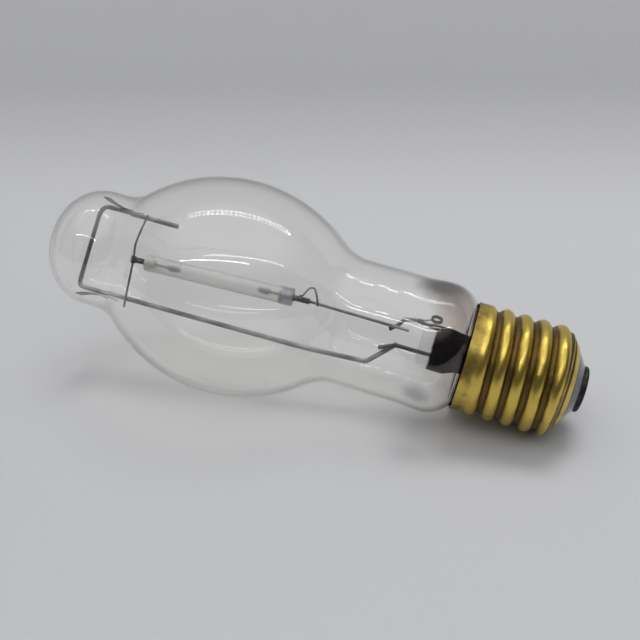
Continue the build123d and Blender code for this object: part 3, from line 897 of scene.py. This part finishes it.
@dataclass
class ScrewCap:
    """The rolled brass shell: knuckle thread, drawn-in nose with a crease, and rim band."""

    lamp: Lamp
    length: float = 41.4
    wall: float = 0.3
    crest_r: float = 19.56
    depth: float = 1.8
    pitch: float = 6.35
    crest_round: float = 2.45
    root_round: float = 1.25
    phase: float = 5.98
    band_r: float = 19.3
    band_height: float = 3.6
    band_blend: float = 1.8
    nose_r: float = 13.82
    nose_height: float = 5.2
    nose_angle: float = 52.0
    nose_round: float = 0.6
    crease_height: float = 7.4
    crease_depth: float = 0.45
    crease_half: float = 0.7
    sharp_angle: float = 50.0
    segments: int = 240
    rows: int = 150
    inside_rows: int = 64

    def thread_radius(self, turn: float, inset: float) -> float:
        """Radius of the thread at a share of a turn from its crest."""
        crest, root = self.crest_round - inset, self.root_round + inset
        rise = abs(turn) * self.pitch
        if rise <= self.pitch / 2 * crest / (crest + root):
            return self.crest_r - self.crest_round + leg(crest, rise)
        return self.crest_r - self.depth + self.root_round - leg(root, self.pitch / 2 - rise)

    def radius(self, turn: float, height: float, inset: float) -> float:
        """Radius of the shell.

        Args:
            turn: share of a turn about the axis.
            height: height on the lamp.
            inset: how far inside the outer surface.

        Returns:
            The radius, from the thread, the nose and the rim band.
        """
        angle = radians(self.nose_angle)
        from_crest = (height - self.phase) / self.pitch - turn
        thread = self.thread_radius((from_crest + 0.5) % 1 - 0.5, inset)
        nose = self.nose_r + (height - self.nose_height) * tan(angle) - inset / cos(angle)
        closeness = max(self.nose_round - abs(thread - nose), 0) / self.nose_round
        radius = min(thread, nose) - closeness**2 * self.nose_round / 4
        from_crease = (height - self.crease_height) / self.crease_half
        radius -= self.crease_depth * max(0.0, 1 - from_crease**2) ** 2
        share = min(max((height - self.length + self.band_height) / self.band_blend + 1, 0), 1)
        share = share**2 * (3 - 2 * share)
        return radius * (1 - share) + (self.band_r - inset) * share

    def skin(self, inset: float, rows: int, first: int) -> tuple[list[Vector], Faces, Faces]:
        """One surface of the shell.

        Args:
            inset: how far inside the outer surface.
            rows: steps along the axis.
            first: number of its first vertex.

        Returns:
            The points, the faces and the vertex numbers of each ring.
        """
        points, rings = [], []
        for row in range(rows + 1):
            height = self.nose_height + (self.length - self.nose_height) * row / rows
            rings.append([first + len(points) + i for i in range(self.segments)])
            for i in range(self.segments):
                share = i / self.segments
                radius, turn = self.radius(share, height, inset), 2 * pi * share
                points.append(self.lamp.place(radius * cos(turn), height, radius * sin(turn)))
        faces = [face for low, high in zip(rings, rings[1:]) for face in ring_faces(low, high)]
        return points, faces, rings

    def build(self, effects: Effects) -> Object:
        """Makes the shell and puts it in place of its CAD node."""
        points, faces, outer = self.skin(0.0, self.rows, 0)
        more, back, inner = self.skin(self.wall, self.inside_rows, len(points))
        faces += ring_faces(inner[0], outer[0]) + ring_faces(outer[-1], inner[-1])
        faces += [face[::-1] for face in back]
        shell = new_mesh("brass_shell", [*points, *more], faces)
        shell.data.set_sharp_from_angle(angle=radians(self.sharp_angle))
        dress(shell, Finish.BRASS.material(effects))
        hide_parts("cap_shell")
        return shell


@dataclass
class Mount:
    """Every other CAD node, which keeps its shape and gets its finish."""

    nodes: dict[str, Object]
    finishes: tuple[tuple[Finish, tuple[str, ...]], ...] = (
        (Finish.STEM, ("stem_glass",)),
        (Finish.TUBE_GLASS, ("exhaust_tube",)),
        (Finish.LEAD, ("upper_lead_in", "lower_lead_in")),
        (Finish.THIN, ("centre_lead_wire", "side_lead_wire", "expansion_loop", "getter_wire")),
        (Finish.FRAME, ("mount_frame", "cross_wire")),
        (Finish.SPRING, ("upper_leaf_spring", "lower_leaf_spring")),
        (Finish.ALUMINA, ("arc_tube",)),
        (Finish.PLUG, ("dome_end_plug", "cap_end_plug")),
        (Finish.HEAT_BAND, ("heat_band",)),
        (Finish.NIOBIUM, ("dome_niobium_tube", "cap_niobium_tube")),
        (Finish.TUNGSTEN, ("dome_electrode", "cap_electrode")),
        (Finish.TUNGSTEN, ("dome_electrode_coil", "cap_electrode_coil")),
        (Finish.ROD, ("support_rod",)),
        (Finish.GETTER, ("getter_ring",)),
        (Finish.CEMENT, ("basing_cement",)),
        (Finish.INSULATOR, ("cap_insulator",)),
        (Finish.CONTACT, ("centre_contact",)),
        (Finish.SOLDER, ("contact_solder",)),
    )

    def build(self, effects: Effects) -> None:
        """Dresses each node."""
        for finish, names in self.finishes:
            for name in names:
                dress(self.nodes[name], finish.material(effects))
                LOG.info("dressed %s in %s", name, finish.value.name)


@dataclass(frozen=True)
class Panel:
    """A soft round lamp of the studio, which glass and metal don't mirror.

    Args:
        name: the lamp's name.
        place: where it hangs, in the row frame, and aim the point that it faces.
        size: how wide it is, in metres.
        power: its power in watts.
    """

    name: str
    place: Vector
    size: float
    power: float
    aim: Vector = Vector((0.0, 0.0, 0.04))

    def build(self) -> None:
        """Puts it in the scene."""
        light = bpy.data.lights.new(self.name, "AREA")
        light.shape = "DISK"
        light.size = self.size
        light.energy = self.power
        lamp = bpy.data.objects.new(self.name, light)
        lamp.visible_glossy = lamp.visible_transmission = False
        lamp.location = self.place
        lamp.rotation_euler = (self.aim - self.place).to_track_quat("-Z", "Y").to_euler()
        bpy.context.scene.collection.objects.link(lamp)


@dataclass(frozen=True)
class Strip:
    """A strip of small lamps, seen only in glass and metal.

    Args:
        name: the strip's name.
        start: where it starts, in the row frame, and end where it ends.
        dots: how many lamps it has, or 1 for an even strip.
        width: how wide each is, in metres.
        fill: how much of its share of the length each lamp takes up.
    """

    name: str
    start: Vector
    end: Vector
    dots: int
    width: float
    fill: float = 0.42

    def build(self, glow: Material) -> None:
        """Puts it in the scene, facing down."""
        step = (self.end - self.start) / self.dots
        along = step * self.fill / 2
        across = Vector((-step.y, step.x, 0.0)).normalized() * self.width / 2
        corners = (-along - across, along - across, along + across, across - along)
        points, faces = [], []
        for i in range(self.dots):
            middle = self.start + step * (i + 0.5)
            faces.append([len(points) + k for k in range(len(corners))])
            points += [middle + corner for corner in corners]
        strip = new_mesh(self.name, points, faces, smooth=False)
        strip.visible_camera = strip.visible_diffuse = strip.visible_shadow = False
        dress(strip, glow)


@dataclass
class Studio:
    """Pale floor and wall, soft light, ceiling strips and the camera.

    Args:
        lamp: where the object lies.
        right: the camera's right, with its up and back, in lamp coordinates.
        eye: the camera's place as x, s and y of the lamp.
        lens: its focal length, for a sensor of 36 mm.
        near: how far the floor runs towards the camera, in metres, and far to the wall.
        sweep: the radius between floor and wall.
        wall_shaded: over which height the wall's colour turns paler, painted light towards its top.
        wall_lift: what the wall glows by itself, from lift_from on, for all but diffuse rays.
        room: the world at the horizon, and ceiling overhead, with sky_range between.
        mirrored_room: the room as glass and metal show it, with a range of its own.
        glow: how bright the ceiling's strips are.
    """

    lamp: Lamp
    right: Triple = (0.28328, 0.12923, -0.95029)
    up: Triple = (0.95901, -0.04033, 0.28041)
    back: Triple = (-0.00209, -0.99077, -0.13537)
    eye: Triple = (-3.154, 52.65, -301.02)
    lens: float = 47.8125
    near: float = 2.5
    far: float = 0.235
    sweep: float = 0.05
    half_width: float = 2.5
    wall_height: float = 0.4
    floor_near: Colour = (0.535, 0.54, 0.55)
    floor_far: Colour = (0.585, 0.59, 0.60)
    wall_low: Colour = (0.57, 0.575, 0.585)
    wall_high: Colour = (0.66, 0.665, 0.675)
    wall_shaded: float = 0.20
    wall_lift: Colour = (0.12, 0.12, 0.121)
    lift_from: float = 0.05
    room: Colour = (0.10, 0.10, 0.105)
    ceiling: Colour = (0.86, 0.86, 0.88)
    sky_range: Point = (0.35, 0.85)
    mirrored_room: Colour = (0.07, 0.07, 0.075)
    mirrored_range: Point = (0.58, 0.92)
    panels: tuple[Panel, ...] = (
        Panel("far_lamp", Vector((0.14, 0.36, 1.10)), 0.45, 4.95),
        Panel("near_lamp", Vector((0.10, -0.45, 1.0)), 0.6, 1.2),
    )
    glow: float = 34.0
    glow_colour: Colour = (1.0, 0.99, 0.97)
    strips: tuple[Strip, ...] = (
        Strip("far_strip", Vector((-0.36, 0.115, 0.6)), Vector((0.33, 0.325, 0.6)), 26, 0.009),
        Strip("far_strip_twin", Vector((-0.35, 0.075, 0.6)), Vector((0.34, 0.285, 0.6)), 26, 0.009),
        Strip("near_strip", Vector((-0.19, -0.37, 0.6)), Vector((0.50, -0.16, 0.6)), 24, 0.011),
        Strip("even_strip", Vector((-0.45, -0.49, 0.6)), Vector((0.20, -0.34, 0.6)), 1, 0.008, 1.0),
    )

    def camera(self) -> Object:
        """The camera, where the photograph was taken from."""
        data = bpy.data.cameras.new("camera")
        data.lens = self.lens
        data.sensor_width = 36.0
        data.clip_start, data.clip_end = 0.01, 20.0
        camera = bpy.data.objects.new("camera", data)
        axes = Matrix([self.lamp.turn(axis) for axis in (self.right, self.up, self.back)])
        turn = axes.transposed().to_4x4()
        camera.matrix_world = Matrix.Translation(self.lamp.place(*self.eye)) @ turn
        bpy.context.scene.collection.objects.link(camera)
        bpy.context.scene.camera = camera
        return camera

    def backdrop(self, camera: Object) -> None:
        """One pale sheet: the floor, a small sweep and the wall, square to the camera."""
        away = -camera.matrix_world.to_3x3().col[2]
        away = Vector((away.x, away.y, 0.0)).normalized()
        side = Vector((away.y, -away.x, 0.0))
        foot = self.far - self.sweep
        profile = [(-self.near, 0.0), (foot, 0.0)]
        steps = 12
        for i in range(1, steps + 1):
            turn = pi / 2 * i / steps
            profile.append((foot + self.sweep * sin(turn), self.sweep * (1 - cos(turn))))
        profile.append((self.far, self.wall_height))
        points = [
            away * reach + Vector((0.0, 0.0, height)) + side * half
            for reach, height in profile
            for half in (-self.half_width, self.half_width)
        ]
        faces = [(2 * i, 2 * i + 1, 2 * i + 3, 2 * i + 2) for i in range(len(profile) - 1)]
        sheet = new_mesh("backdrop", points, faces)
        dress(sheet, self.paper(away))

    def paper(self, away: Vector) -> Material:
        """The backdrop's material, clear from behind, with away the way to the wall."""
        material, tree, shader, out = new_material("backdrop_paper")
        here = tree.add("TexCoord").outputs["Object"]
        height = tree.add("SeparateXYZ", {0: here}).outputs["Z"]
        reach = tree.dot(here, away[:])
        # Painted shade: the floor is darker towards the camera and paler towards the wall.
        back = tree.ramp(reach, -0.1, self.far)
        floor = tree.mix(back, rgba(self.floor_near), rgba(self.floor_far))
        up = tree.ramp(height, 0.0, self.wall_shaded, False)
        # Painted light: the wall turns paler towards its top.
        wall = tree.mix(up, rgba(self.wall_low), rgba(self.wall_high))
        colour = tree.mix(tree.ramp(height, 0.0, 0.02), floor, wall)
        tree.fill(shader, {"Base Color": colour, "Roughness": 0.9, "Specular IOR Level": 0.1})
        seen = tree.on_rays("Is Glossy Ray", "Is Transmission Ray", "Is Camera Ray")
        lift = tree.math("MULTIPLY", seen, tree.ramp(reach, self.lift_from, self.far))
        lit = tree.mix(lift, rgba((0.0, 0.0, 0.0)), rgba(self.wall_lift))
        tree.fill(shader, {"Emission Color": lit, "Emission Strength": 1.0})
        behind = tree.add("NewGeometry").outputs["Backfacing"]
        clear = tree.add("BsdfTransparent")
        sides = tree.add("MixShader", {0: behind, 1: shader.outputs[0], 2: clear.outputs[0]})
        tree.fill(out, {"Surface": sides.outputs[0]})
        return material

    def world(self) -> None:
        """A dim room under a pale ceiling, dimmer where glass and metal show it."""
        world = bpy.data.worlds.new("studio")
        bpy.context.scene.world = world
        world.use_nodes = True
        tree = Tree(world.node_tree)
        towards = tree.add("TexCoord").outputs["Generated"]
        height = tree.add("SeparateXYZ", {0: towards}).outputs["Z"]
        rooms = ((self.room, self.sky_range), (self.mirrored_room, self.mirrored_range))
        skies = [
            tree.mix(tree.ramp(height, *between), rgba(room), rgba(self.ceiling))
            for room, between in rooms
        ]
        sky = tree.mix(tree.on_rays("Is Glossy Ray", "Is Transmission Ray"), *skies)
        tree.fill(world.node_tree.nodes["Background"], {"Color": sky})

    def lights(self) -> None:
        """The soft lamps, and the strips that glass and metal show."""
        for panel in self.panels:
            panel.build()
        material, tree, _, out = new_material("strip_glow")
        seen = tree.on_rays("Is Glossy Ray", "Is Transmission Ray")
        bright = tree.math("MULTIPLY", seen, self.glow)
        glow = tree.add("Emission", {"Color": rgba(self.glow_colour), "Strength": bright})
        tree.fill(out, {"Surface": glow.outputs[0]})
        material.cycles.emission_sampling = "NONE"
        for strip in self.strips:
            strip.build(material)

    def build(self) -> None:
        """Puts up the studio."""
        camera = self.camera()
        self.backdrop(camera)
        self.world()
        self.lights()


def main() -> None:
    """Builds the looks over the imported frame."""
    logging.basicConfig(level=logging.INFO, format="%(message)s")
    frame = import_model()
    scene = bpy.context.scene
    scene.view_settings.view_transform = "Standard"
    lamp = Lamp.from_record(frame["record"])
    effects = Effects(lamp)
    Mount(frame["nodes"]).build(effects)
    for part in (OuterBulb(lamp), ScrewCap(lamp)):
        piece = part.build(effects)
        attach(piece, "root")
        LOG.info("built %s with %d faces", piece.name, len(piece.data.polygons))
    Studio(lamp).build()
    bpy.context.view_layer.update()


if __name__ == "__main__":
    main()
